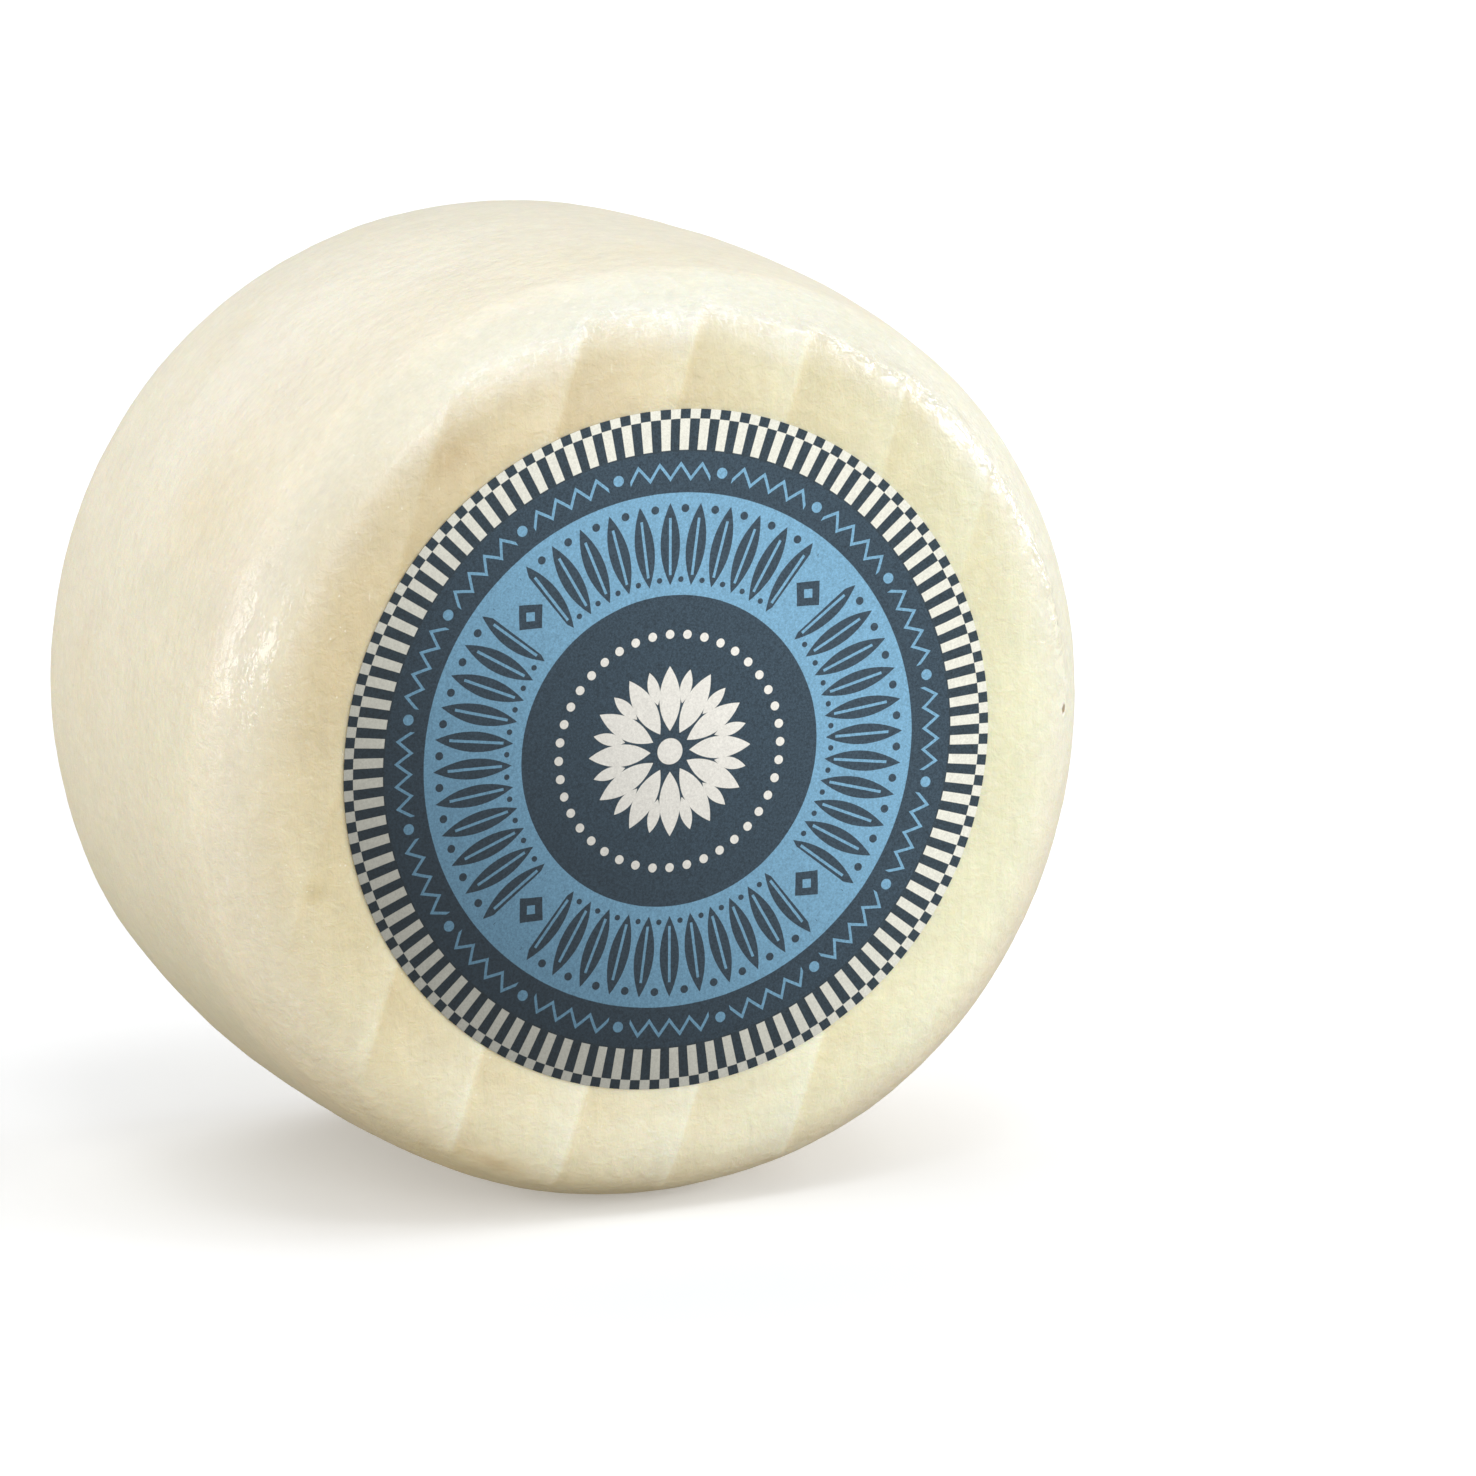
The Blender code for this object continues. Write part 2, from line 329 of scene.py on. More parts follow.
def cheese_tint(w):
    """The broad colours of the rind, uneven as on the real wheel, with painted shade underneath, at the lower left and
    beside the boards' ridges at the top, and a painted highlight along the lip.
    """
    a, u = w.angle, w.from_axis
    cloud = Noise(5).layers(w.points / (30.0 * MM), 3)
    blotch = Noise(7).layers(w.points / (13.0 * MM), 2)
    count = len(u)

    # rim: pale, slightly pink ivory with tan, green and whiter clouds, and painted shade at the lower left
    rim = np.tile(np.array((0.868, 0.810, 0.655)), (count, 1))
    fronting = 1.0 - step(112.0, 152.0, w.s / MM)  # dies away over the rim, towards the back
    hidden = 1.0 - around(a, 140.0, 62.0) * fronting
    rim = blend(rim, (0.893, 0.832, 0.700), 0.9 * w.patch(128.0, 124.0, 22.0, 14.0))
    rim = blend(rim, (0.845, 0.765, 0.570), 0.8 * w.patch(150.0, 104.0, 8.0, 9.0))
    rim = blend(rim, (0.800, 0.768, 0.590), 0.6 * w.patch(161.0, 106.0, 3.0, 13.0))
    rim = blend(rim, (0.840, 0.812, 0.625), 0.7 * w.patch(180.0, 98.0, 13.0, 16.0))
    rim = blend(rim, (0.845, 0.768, 0.585), 0.8 * hidden * step(0.15, 0.8, cloud))
    rim = blend(rim, (0.825, 0.792, 0.612), 0.7 * hidden * step(0.15, 0.8, -cloud))
    rim = blend(rim, (0.905, 0.850, 0.690), 0.8 * around(a, 84.0, 28.0))
    rim = blend(rim, (0.935, 0.885, 0.715), around(a, 197.0, 14.0))
    # painted shade: the rim is darker and warmer at the lower left, towards the floor
    rim = blend(rim, (0.790, 0.722, 0.555), 0.9 * around(a, 236.0, 24.0))

    # shoulder: whiter, with a green cast at the top and on the right
    cream = (0.815, 0.768, 0.625)
    mint = (0.850, 0.852, 0.742)
    green_side = np.clip(around(a, 50.0, 46.0) * 1.35, 0.0, 1.0)
    shoulder = blend(np.tile(np.array(cream), (count, 1)), mint, green_side)
    shoulder = blend(shoulder, (0.855, 0.800, 0.625), 0.8 * around(a, 245.0, 28.0))
    far = step(6.0, 14.0, w.from_lip + 1.2 * cloud)
    far = far * (1.0 - 0.75 * around(a, 10.0, 34.0) * (1.0 - step(92.0, 124.0, w.s / MM)))
    skin = shoulder + (rim - shoulder) * far[:, None]

    # faces: darker tan at the upper left, whey-green at the lower right
    share = 0.5 + 0.5 * np.cos(a + math.radians(25.0)) * np.minimum(u / 58.0, 1.0)
    share = np.maximum(share, 0.0) ** 0.7 + 0.05 * cloud
    face = blend(np.tile(np.array((0.675, 0.590, 0.380)), (count, 1)), (0.872, 0.880, 0.652), share)
    face = face * (1.0 + 0.065 * around(a, 240.0, 38.0))[:, None]
    face[:, 2] *= 1.0 + 0.07 * around(a, 268.0, 22.0)
    # they grow lighter outwards; at the top, each board's strip is darker just right of its ridge and lighter towards
    # the next, partly the curd's tone and partly painted shade
    outer = step(62.0, 76.0, u)
    right = around(a, 5.0, 28.0)
    face = face + outer[:, None] * (np.array((0.050, 0.075, 0.090)) - right[:, None] * np.array((0.050, 0.060, 0.000)))
    top = np.where(w.front, around(a, 95.0, 32.0), 0.0)
    face = face * (1.0 + 0.030 * blotch - 0.045 * w.reach * top)[:, None]
    face = blend(face, (0.640, 0.520, 0.310), 0.62 * w.patch(126.5, 67.0, 3.6, 3.0))
    face = blend(face, (0.640, 0.560, 0.330), 0.60 * w.patch(197.0, 68.0, 1.4, 1.7))
    # the change to the shoulder is slow, most of all at the left and the bottom
    left = np.where(w.front, around(a, 172.0, 34.0), 0.0)
    low = np.where(w.front, around(a, 250.0, 36.0), 0.0)
    inner, outside = 7.5 + 1.5 * low, 1.0 + 5.0 * left + 2.0 * low
    near = np.clip((w.from_lip - 0.9 * w.reach + inner) / (inner + outside), 0.0, 1.0)
    near = near * near * (3.0 - 2.0 * near)
    tint = face + (skin - face) * near[:, None]
    # painted highlight: the lip is painted nearly white along the top and the right, where its damp curd shines
    wet_sheen = np.exp(-((w.from_lip - 0.6) / 3.0) ** 2) * np.where(w.front, np.clip(around(a, 102.0, 24.0) + 0.4 * around(a, 8.0, 22.0), 0.0, 1.0), 0.3)
    tint = blend(tint, (0.935, 0.930, 0.810), 0.45 * wet_sheen)
    # painted shade: darker underneath, where the face turns under towards the floor
    under = around(a, 254.0, 26.0) * step(77.5, 84.0, u) 
    tint = tint * (1.0 - 0.13 * np.clip(under, 0.0, 1.0))[:, None]
    tint = tint * (1.0 + 0.04 * w.patch(240.0, 76.0, 22.0, 4.0))[:, None]
    bright = np.where(w.front, around(a, 35.0, 34.0), 0.0) * (1.0 - step(82.0, 92.0, u))
    tint = tint * (1.0 - bright[:, None] * np.array((0.055, 0.060, 0.085)) * (0.7 + 0.6 * step(66.0, 76.0, u))[:, None])
    tint = tint * (1.0 - w.patch(141.0, 73.0, 11.0, 3.6)[:, None] * np.array((0.080, 0.100, 0.130)))
    tint = tint * (1.0 + 0.06 * around(a, 214.0, 12.0) * step(79.0, 86.0, u))[:, None]
    front = w.front * 1.0
    place = w.s / MM
    far_rim = step(106.0, 122.0, place) * (1.0 - step(160.0, 172.0, place))
    for share, change in (
        (around(a, 100.0, 14.0) * (1.0 - step(70.0, 76.0, u)) * front, (-0.005, -0.035, -0.035)),
        (w.patch(58.0, 73.5, 12.0, 3.0), (-0.060, -0.080, -0.140)),
        (w.patch(50.0, 75.5, 17.0, 3.0), (-0.050, -0.055, -0.050)),
        (around(a, 46.0, 44.0) * np.exp(-(((u - 79.0) / 4.0) ** 2)) * front, (-0.065, -0.070, -0.065)),
        (w.patch(100.0, 77.0, 14.0, 3.0), (-0.035, -0.030, -0.020)),
        (w.patch(160.0, 84.3, 9.5, 3.7), (-0.080, -0.095, -0.085)),
        (w.patch(240.0, 85.0, 14.0, 5.0), (-0.020, -0.050, -0.130)),
        (w.patch(192.0, 73.0, 16.0, 4.0), (-0.045, -0.060, -0.085)),
        (w.patch(268.0, 79.5, 18.0, 3.0), (-0.080, -0.080, -0.110)),
        (w.patch(270.0, 72.5, 16.0, 4.0), (-0.050, -0.060, -0.060)),
        (w.patch(232.0, 66.0, 14.0, 4.5), (-0.040, -0.045, -0.020)),
        (w.patch(0.0, 79.0, 9.0, 4.0), (0.020, 0.045, 0.050)),
        (w.patch(180.0, 64.0, 16.0, 4.0), (-0.035, -0.035, -0.020)),
        (w.patch(140.0, 63.5, 8.0, 4.0), (-0.045, -0.050, -0.050)),
        (around(a, 142.0, 30.0) * far_rim, (0.035, 0.045, 0.055)),
        (around(a, 216.0, 13.0) * step(96.0, 106.0, place), (-0.090, -0.060, -0.060)),
        (around(a, 90.0, 14.0) * np.exp(-(((place - 98.0) / 9.0) ** 2)), (0.000, -0.010, -0.045)),
    ):
        tint = tint * (1.0 + share[:, None] * np.array(change))
    tint = blend(tint, (0.620, 0.480, 0.270), 0.45 * w.patch(247.0, 78.3, 3.2, 1.2))
    return tint


SEGMENTS = 512


def grid_mesh(name, points, rows, columns, closed_ends):
    """A mesh of rings joined into a closed skin, with one point at each end."""
    column = np.arange(columns)
    following = (column + 1) % columns
    quads = []
    for row in range(rows - 1):
        base = row * columns
        quads.append(np.stack([base + column, base + columns + column, base + columns + following, base + following], 1))
    quads = np.concatenate(quads)
    first, last = closed_ends
    base = (rows - 1) * columns
    fans = np.concatenate([
        np.stack([np.full(columns, first), column, following], 1),
        np.stack([np.full(columns, last), base + following, base + column], 1),
    ])
    mesh = bpy.data.meshes.new(name)
    loops = np.concatenate([quads.ravel(), fans.ravel()])
    counts = np.concatenate([np.full(len(quads), 4), np.full(len(fans), 3)])
    mesh.vertices.add(len(points))
    mesh.vertices.foreach_set("co", points.astype(np.float32).ravel())
    mesh.loops.add(len(loops))
    mesh.loops.foreach_set("vertex_index", loops.astype(np.int32))
    mesh.polygons.add(len(counts))
    starts = np.concatenate([[0], np.cumsum(counts)[:-1]])
    mesh.polygons.foreach_set("loop_start", starts.astype(np.int32))
    mesh.update(calc_edges=True)
    mesh.validate()
    mesh.shade_smooth()
    return mesh


def bake_map(mesh, corners):
    layer = mesh.uv_layers.new(name="OFBake")
    layer.uv.foreach_set("vector", corners.astype(np.float32).ravel())


def wheel_corners(rows):
    """Places on the bake map for each face corner: a disc for each face and two strips for the rim."""
    scale = 1.0 / 0.364
    column = np.arange(SEGMENTS)
    turn = 2.0 * math.pi / SEGMENTS

    def disc(centre, reach, steps, mirror):
        angle = steps * turn * mirror
        return centre[0] + reach * scale * np.cos(angle), centre[1] + reach * scale * np.sin(angle)

    def corner(s, steps, zone):
        if zone == 0:
            return disc((0.2500, 0.7450), s, steps, 1.0)
        if zone == 2:
            return disc((0.7500, 0.7450), PROFILE_END - s, steps, -1.0)
        half = SEGMENTS // 2
        second = column >= half
        along = (steps - np.where(second, half, 0)) * (0.98 / half) + 0.01
        low = np.where(second, 0.010, 0.235)
        return along, low + (s - RIM_FROM) * scale

    parts = []
    for row in range(len(rows) - 1):
        middle = (rows[row] + rows[row + 1]) / 2.0
        zone = 0 if middle < RIM_FROM else 1 if middle < RIM_TO else 2
        four = [
            corner(rows[row], column, zone), corner(rows[row + 1], column, zone),
            corner(rows[row + 1], column + 1, zone), corner(rows[row], column + 1, zone),
        ]
        parts.append(np.stack([np.stack(np.broadcast_arrays(*c), 1) for c in four], 1).reshape(-1, 2))
    for s_end, s_row, order, zone in ((0.0, rows[0], (0, 1), 0), (PROFILE_END, rows[-1], (1, 0), 2)):
        three = [corner(s_end, column, zone)] + [corner(s_row, column + k, zone) for k in order]
        parts.append(np.stack([np.stack(np.broadcast_arrays(*c), 1) for c in three], 1).reshape(-1, 2))
    return np.concatenate(parts)


def make_cheese():
    rows = profile_rows()
    angles = np.arange(SEGMENTS) * 2.0 * math.pi / SEGMENTS
    s = np.concatenate([np.repeat(rows, SEGMENTS), [0.0, PROFILE_END]])
    angle = np.concatenate([np.tile(angles, len(rows)), [0.0, 0.0]])
    w = Surface(s, angle)

    # the profile's own normal
    ahead, behind = profile(s + 0.05 * MM), profile(s - 0.05 * MM)
    run_r, run_y = ahead[0] - behind[0], ahead[1] - behind[1]
    ends = (s <= 0.0) | (s >= PROFILE_END)
    run_r, run_y = np.where(ends, np.where(s <= 0.0, 1.0, -1.0), run_r), np.where(ends, 0.0, run_y)
    length = np.hypot(run_r, run_y)
    out_r, out_y = run_y / length, -run_r / length

    push = cheese_relief(w)
    radius, y = w.radius + push * out_r, w.y + push * out_y
    grow = 1.0 + settle(angle, y)
    points = np.stack([radius * grow * np.cos(angle), y, radius * grow * np.sin(angle)], 1)

    # kept inside the solid's box, and pressed flat where it stands
    centre = np.array(AXIS)
    points += centre
    away = points - centre
    over = max(1.0, away[:, 0].max() / (cheese_high.x - AXIS.x), -away[:, 0].min() / (AXIS.x - cheese_low.x))
    over = max(over, away[:, 2].max() / (cheese_high.z - AXIS.z))
    points[:, (0, 2)] = centre[[0, 2]] + away[:, (0, 2)] / over
    points[:, 1] = np.clip(points[:, 1], cheese_low.y - 0.5 * MM, cheese_high.y)
    soft = 0.5 * MM
    height = points[:, 2]
    pressed = np.where(height > -soft, (height + soft) ** 2 / (4.0 * soft), 0.0)
    points[:, 2] = np.where(height < soft, pressed, height)

    mesh = grid_mesh("goat_cheese", points, len(rows), SEGMENTS, (len(points) - 2, len(points) - 1))
    bake_map(mesh, wheel_corners(rows))

    # fields over the surface that the finish reads
    tint = np.concatenate([cheese_tint(w), np.ones((len(s), 1))], 1)
    layer = mesh.color_attributes.new("tint", "FLOAT_COLOR", "POINT")
    layer.data.foreach_set("color", tint.astype(np.float32).ravel())
    on_face = 1.0 - step(-1.0, 3.0, w.from_lip)
    crest_fade = (1.0 - step(-2.0, 1.6, w.from_lip)) * w.faint * np.where(w.front, 1.0 - 0.20 * around(angle, 90.0, 60.0), 0.8)
    inside = np.where(w.from_lip < 0.4, 3.4, 1.7)
    torn = np.exp(-((w.from_lip - 0.4) / inside) ** 2) * np.clip(w.lip_height * 1.7 - 0.2, 0.0, 1.0)
    torn = torn * (1.0 - 0.45 * around(angle, 34.0, 30.0) * w.front)
    glow = w.patch(164.5, 77.4, 13.0, 3.6)
    lip = np.exp(-(((w.from_lip - 0.4) / 1.15) ** 2)) * w.front
    reach = np.where(w.from_lip < -0.3, 2.0, 1.0)
    broad = np.exp(-(((w.from_lip + 0.3) / reach) ** 2)) * w.front
    gloss = np.clip(broad * 1.5 * around(angle, 40.0, 20.0), 0.0, 1.0) + lip * 0.7 * around(angle, 96.0, 26.0)
    gloss = gloss + 0.6 * w.patch(8.0, 74.0, 11.0, 3.0)
    for name, values in (
        ("boards", w.boards), ("on_face", on_face), ("crest_fade", crest_fade),
        ("torn", np.clip(torn, 0.0, 1.0)), ("glow", glow), ("gloss", np.clip(gloss, 0.0, 1.0)),
    ):
        layer = mesh.attributes.new(name, "FLOAT", "POINT")
        layer.data.foreach_set("value", values.astype(np.float32))
    skin = np.stack([s / MM, 84.0 * np.cos(angle), 84.0 * np.sin(angle)], 1)
    layer = mesh.attributes.new("skin", "FLOAT_VECTOR", "POINT")
    layer.data.foreach_set("vector", skin.astype(np.float32).ravel())

    cheese = bpy.data.objects.new("goat_cheese_wheel", mesh)
    bpy.context.scene.collection.objects.link(cheese)
    return cheese


# ---------------------------------------------------------------- the label's form
LABEL_LIFT = 0.20 * MM
PAPER = 0.14 * MM
LABEL_SEGMENTS = 300


def make_label():
    wave = Noise(71)
    outer = np.concatenate([np.linspace(0.0, 56.0, 29)[1:], np.linspace(57.0, 59.75, 6), [59.9]])
    rows = np.concatenate([outer, outer[::-1]]) * MM
    angles = np.arange(LABEL_SEGMENTS) * 2.0 * math.pi / LABEL_SEGMENTS
    radius = np.concatenate([np.repeat(rows, LABEL_SEGMENTS), [0.0, 0.0]])
    angle = np.concatenate([np.tile(angles, len(rows)), [0.0, 0.0]])
    count = len(outer) * LABEL_SEGMENTS
    inner = np.concatenate([np.zeros(count), np.ones(count), [0.0, 1.0]])
    x, z = radius * np.cos(angle), radius * np.sin(angle)
    at = np.stack([x, np.zeros_like(x), z], 1)

    # the paper follows the boards' ridges softly and lifts a little here and there at its edge
    relief = 0.42 * ridges(across_boards(x, z, 1.0))
    relief += 0.04 * MM * wave.layers(at / (21.0 * MM), 2)
    edge = step(54.0, 59.9, radius / MM)
    relief += 0.10 * MM * edge * np.clip(wave(at / (26.0 * MM) + 9.0), 0.0, 1.0)
    relief += 0.06 * MM * edge
    y = -HALF - LABEL_LIFT - np.maximum(relief, 0.0) + inner * PAPER
    points = np.stack([x, y, z], 1) + np.array(AXIS)
    points[:, 1] = np.maximum(points[:, 1], label_low.y)

    mesh = grid_mesh("round_label", points, len(rows), LABEL_SEGMENTS, (len(points) - 2, len(points) - 1))
    mesh.set_sharp_from_angle(angle=math.radians(40.0))

    # on the bake map the printed side fills the square and the back lies in a corner
    column = np.arange(LABEL_SEGMENTS)
    turn = 2.0 * math.pi / LABEL_SEGMENTS

    def corner(row, steps, back):
        reach = row / LABEL_RADIUS
        centre, size = ((0.072, 0.072), 0.062) if back else ((0.5, 0.5), 0.482)
        angle = steps * turn * (-1.0 if back else 1.0)
        return centre[0] + size * reach * np.cos(angle), centre[1] + size * reach * np.sin(angle)

    parts = []
    for row in range(len(rows) - 1):
        edge_row = row == len(outer) - 1
        back = row >= len(outer)
        low, high = rows[row], rows[row + 1] * (1.004 if edge_row else 1.0)
        four = [corner(low, column, back), corner(high, column, back), corner(high, column + 1, back), corner(low, column + 1, back)]
        parts.append(np.stack([np.stack(c, 1) for c in four], 1).reshape(-1, 2))
    for row, order, back in ((rows[0], (0, 1), False), (rows[-1], (1, 0), True)):
        centre = corner(0.0, column, back)
        three = [centre] + [corner(row, column + k, back) for k in order]
        parts.append(np.stack([np.stack(np.broadcast_arrays(*c), 1) for c in three], 1).reshape(-1, 2))
    bake_map(mesh, np.concatenate(parts))

    label = bpy.data.objects.new("round_label", mesh)
    bpy.context.scene.collection.objects.link(label)
    return label


# ---------------------------------------------------------------- finishes
class Value:
    """A number in a material's node tree, with arithmetic."""

    def __init__(self, tree, socket):
        self.tree, self.socket = tree, socket

    def math(self, operation, *others, clamp=False):
        node = self.tree.nodes.new("ShaderNodeMath")
        node.operation = operation
        node.use_clamp = clamp
        for i, value in enumerate((self, *others)):
            if isinstance(value, Value):
                self.tree.links.new(value.socket, node.inputs[i])
            else:
                node.inputs[i].default_value = value
        return Value(self.tree, node.outputs[0])

    def __add__(self, other): return self.math("ADD", other)
    def __radd__(self, other): return self.math("ADD", other)
    def __sub__(self, other): return self.math("SUBTRACT", other)
    def __mul__(self, other): return self.math("MULTIPLY", other)
    def __rmul__(self, other): return self.math("MULTIPLY", other)
    def __truediv__(self, other): return self.math("DIVIDE", other)
    def __abs__(self): return self.math("ABSOLUTE")

    def flip(self): return (self * -1.0) + 1.0
    def least(self, other): return self.math("MINIMUM", other)
    def most(self, other): return self.math("MAXIMUM", other)
    def power(self, other): return self.math("POWER", other)
    def clamp(self): return self.math("ADD", 0.0, clamp=True)
    def sin(self): return self.math("SINE")

    def turn(self, low, high, to_low=0.0, to_high=1.0):
        """Goes smoothly from to_low to to_high as the value goes from low to high."""
        node = self.tree.nodes.new("ShaderNodeMapRange")
        node.interpolation_type = "SMOOTHSTEP"
        self.tree.links.new(self.socket, node.inputs["Value"])
        node.inputs["From Min"].default_value = low
        node.inputs["From Max"].default_value = high
        node.inputs["To Min"].default_value = to_low
        node.inputs["To Max"].default_value = to_high
        return Value(self.tree, node.outputs["Result"])


class Finish:
    """A Principled material under construction."""

    def __init__(self, name):
        self.material = bpy.data.materials.new(name)
        self.material.use_nodes = True
        self.tree = self.material.node_tree
        self.shader = self.tree.nodes["Principled BSDF"]

    def node(self, kind, **inputs):
        node = self.tree.nodes.new(kind)
        for name, value in inputs.items():
            node.inputs[name.replace("_", " ")].default_value = value
        return node

    def attribute(self, name):
        node = self.node("ShaderNodeAttribute")
        node.attribute_name = name
        return Value(self.tree, node.outputs["Fac"])

    def colour(self, name):
        node = self.node("ShaderNodeAttribute")
        node.attribute_name = name
        return node.outputs["Color"]

    def vector(self, name):
        node = self.node("ShaderNodeAttribute")
        node.attribute_name = name
        return node.outputs["Vector"]

    def stretched(self, vector, scale):
        node = self.node("ShaderNodeVectorMath")
        node.operation = "MULTIPLY"
        self.tree.links.new(vector, node.inputs[0])
        node.inputs[1].default_value = scale
        return node.outputs[0]

    def distance(self, vector, place, scale):
        """How far a vector is from a place, each axis times its scale."""
        node = self.node("ShaderNodeVectorMath")
        node.operation = "SUBTRACT"
        self.tree.links.new(vector, node.inputs[0])
        node.inputs[1].default_value = place
        length = self.node("ShaderNodeVectorMath")
        length.operation = "LENGTH"
        self.tree.links.new(self.stretched(node.outputs[0], scale), length.inputs[0])
        return Value(self.tree, length.outputs["Value"])

    def scaled(self, colour, tone):
        """A colour times a number or a Value."""
        node = self.node("ShaderNodeVectorMath")
        node.operation = "SCALE"
        self.tree.links.new(colour, node.inputs[0])
        if isinstance(tone, Value):
            self.tree.links.new(tone.socket, node.inputs["Scale"])
        else:
            node.inputs["Scale"].default_value = tone
        return node.outputs[0]

    def shifted(self, vector, by, reach):
        """A place moved about by a noise's colour, up to half of reach each way."""
        middle = self.node("ShaderNodeVectorMath")
        middle.operation = "SUBTRACT"
        self.tree.links.new(by, middle.inputs[0])
        middle.inputs[1].default_value = (0.5, 0.5, 0.5)
        move = self.node("ShaderNodeVectorMath")
        move.operation = "MULTIPLY_ADD"
        self.tree.links.new(middle.outputs[0], move.inputs[0])
        move.inputs[1].default_value = (reach, reach, reach)
        self.tree.links.new(vector, move.inputs[2])
        return move.outputs[0]

    def noise_colour(self, vector, scale, detail=2.0):
        node = self.node("ShaderNodeTexNoise", Scale=scale, Detail=detail)
        self.tree.links.new(vector, node.inputs["Vector"])
        return node.outputs["Color"]

    def bands(self, value, stops):
        """A grey that goes straight from stop to stop; each is (place from 0 to 1, grey)."""
        node = self.tree.nodes.new("ShaderNodeValToRGB")
        self.tree.links.new(value.socket, node.inputs[0])
        ramp = node.color_ramp
        ramp.elements[0].position, ramp.elements[1].position = stops[0][0], stops[-1][0]
        ramp.elements[0].color = (*[stops[0][1]] * 3, 1.0)
        ramp.elements[1].color = (*[stops[-1][1]] * 3, 1.0)
        for place, grey in stops[1:-1]:
            ramp.elements.new(place).color = (grey, grey, grey, 1.0)
        return Value(self.tree, node.outputs["Color"])

    def place(self, scale=(1.0, 1.0, 1.0), turn=(0.0, 0.0, 0.0)):
        """Object coordinates about the wheel's axis, in millimetres, times scale."""
        at = self.node("ShaderNodeTexCoord")
        shift = self.node("ShaderNodeVectorMath")
        shift.operation = "SUBTRACT"
        self.tree.links.new(at.outputs["Object"], shift.inputs[0])
        shift.inputs[1].default_value = AXIS
        mapping = self.node("ShaderNodeMapping")
        mapping.vector_type = "POINT"
        self.tree.links.new(shift.outputs[0], mapping.inputs["Vector"])
        mapping.inputs["Rotation"].default_value = turn
        mapping.inputs["Scale"].default_value = [1000.0 * s for s in scale]
        return mapping.outputs["Vector"]

    def noise(self, vector, scale, detail=2.0, rough=0.5, distortion=0.0):
        node = self.node("ShaderNodeTexNoise", Scale=scale, Detail=detail, Roughness=rough, Distortion=distortion)
        self.tree.links.new(vector, node.inputs["Vector"])
        return Value(self.tree, node.outputs["Fac"])

    def cells(self, vector, scale, feature="F1", random=1.0):
        node = self.node("ShaderNodeTexVoronoi", Scale=scale, Randomness=random)
        node.feature = feature
        self.tree.links.new(vector, node.inputs["Vector"])
        return Value(self.tree, node.outputs["Distance"])

    def mix(self, factor, low, high, kind="MIX"):
        """A colour between two; each is a colour or a socket."""
        node = self.tree.nodes.new("ShaderNodeMix")
        node.data_type = "RGBA"
        node.blend_type = kind
        if isinstance(factor, Value):
            self.tree.links.new(factor.socket, node.inputs[0])
        else:
            node.inputs[0].default_value = factor
        for socket, value in ((node.inputs[6], low), (node.inputs[7], high)):
            if isinstance(value, tuple):
                socket.default_value = (*value, 1.0)
            else:
                self.tree.links.new(value, socket)
        return node.outputs[2]

    def link(self, value, name):
        self.tree.links.new(value.socket if isinstance(value, Value) else value, self.shader.inputs[name])

    def relief(self, height):
        """Bumps the surface by a height in metres."""
        bump = self.node("ShaderNodeBump", Strength=1.0, Distance=1.0)
        self.tree.links.new(height.socket, bump.inputs["Height"])
        self.tree.links.new(bump.outputs["Normal"], self.shader.inputs["Normal"])
        self.tree.links.new(bump.outputs["Normal"], self.shader.inputs["Coat Normal"])


# Where the boards' marks change tone across the boards, with painted light on each crest and painted shade beside it:
# half the reach shown is to the left of the axis
REACH = 70.0
BOARD_TONE_AND_SHADE = [(0.0, 0.42)]
for ridge, strength in zip(RIDGES, RIDGE_STRENGTH):
    for offset, grey in ((-6.0, 0.44), (-1.9, 0.72), (-0.05, 0.88), (0.65, 0.02)):
        BOARD_TONE_AND_SHADE.append(((ridge + offset + REACH) / (2.0 * REACH), 0.42 + (grey - 0.42) * strength))
BOARD_TONE_AND_SHADE.append((1.0, 0.40))


